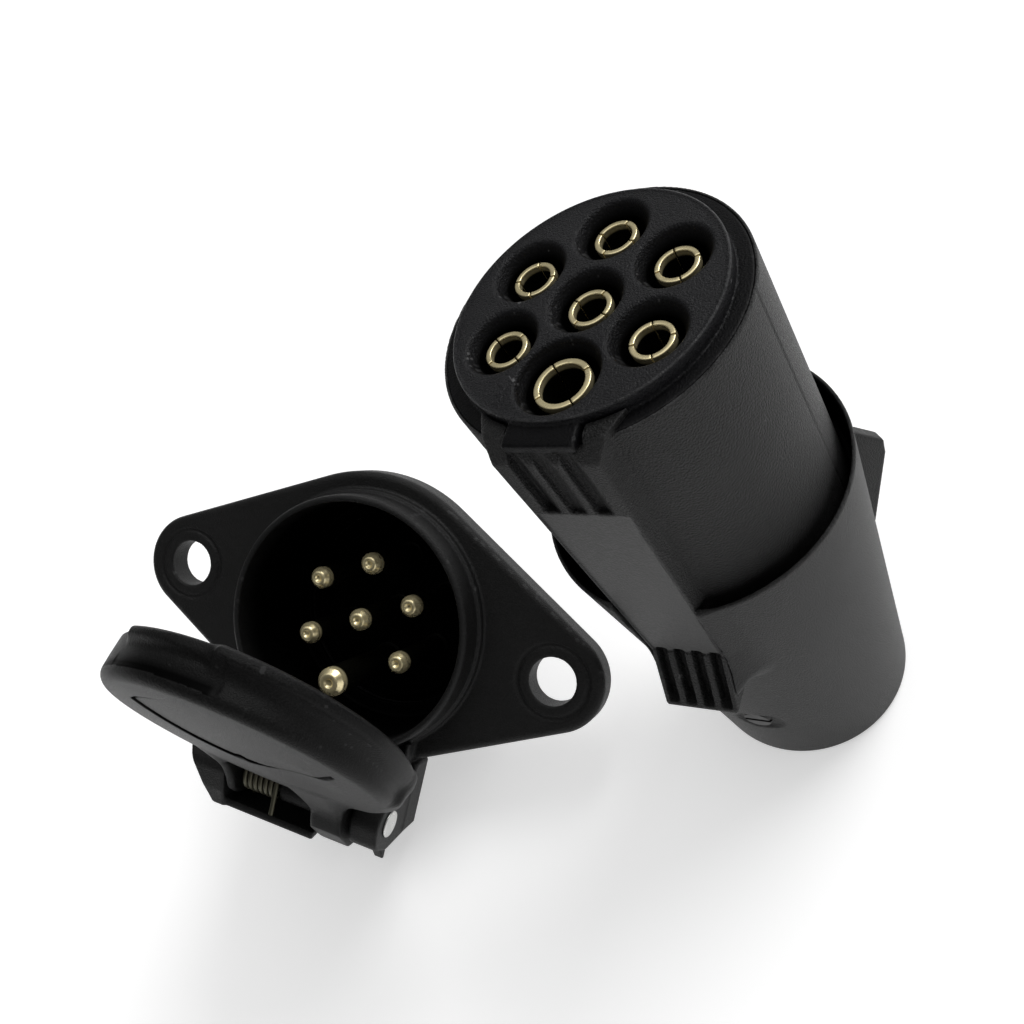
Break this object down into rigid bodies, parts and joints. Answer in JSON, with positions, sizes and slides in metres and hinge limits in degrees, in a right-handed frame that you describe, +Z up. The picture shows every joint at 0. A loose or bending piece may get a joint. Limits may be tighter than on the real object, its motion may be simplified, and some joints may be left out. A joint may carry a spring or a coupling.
{
  "type": "trailer wiring connector",
  "caption": "Round multi-pole truck and trailer connector: a keyed plug with split contact sleeves, and a flanged socket with pins and a sprung hinged lid.",
  "frame": {"origin": "centre of the bounding box on the table", "axes": "+Z up along the plug's axis out of its contact face, -Y the side of the plug's rib, the socket lies to -X"},
  "size_m": [0.1648, 0.0872, 0.1116],
  "materials": {
    "black_plastic": "fine-textured moulded",
    "insert_plastic": "smooth moulded",
    "brass": "turned",
    "steel": "plated",
    "spring_steel": "zinc yellow",
    "rubber": "matte"
  },
  "bodies": {
    "socket": {"hinge_pin": "steel", "pin_1": "brass", "pin_2": "brass", "pin_3": "brass", "pin_4": "brass", "pin_5": "brass", "pin_centre": "brass", "pin_ground": "brass", "socket_cable_grommet": "rubber", "socket_cover_screws": "steel", "socket_gland_nut": "black_plastic", "socket_housing": "black_plastic", "socket_insert": "insert_plastic", "socket_insert_seal": "rubber", "socket_pin_screws": "steel", "socket_rear_cover": "black_plastic", "torsion_spring": "spring_steel"},
    "lid": {"lid": "black_plastic", "lid_seal": "rubber"},
    "plug": {"contact_1": "brass", "contact_2": "brass", "contact_3": "brass", "contact_4": "brass", "contact_5": "brass", "contact_centre": "brass", "contact_ground": "brass", "plug_body": "black_plastic", "plug_cable_grommet": "rubber", "plug_clamp_bar": "black_plastic", "plug_clamp_base": "black_plastic", "plug_clamp_screws": "steel", "plug_insert": "insert_plastic", "plug_rear_sleeve": "black_plastic", "plug_sleeve_screw": "steel", "plug_terminal_screws": "steel"}
  },
  "joints": [
    {"name": "lid_hinge", "type": "hinge", "parent": "socket", "child": "lid", "pos_m": [-0.03532, -0.0346, 0.0249], "axis": [0.9376, -0.0629, -0.3419], "range_deg": [-54, 56], "stiffness_Nm_per_rad": 0.02, "springref_deg": -79, "deforming": ["torsion_spring"]},
    {"name": "plug_lift", "type": "slide", "parent": "socket", "child": "plug", "axis": [0, 0, 1], "range_m": [0, 0.12]}
  ]
}
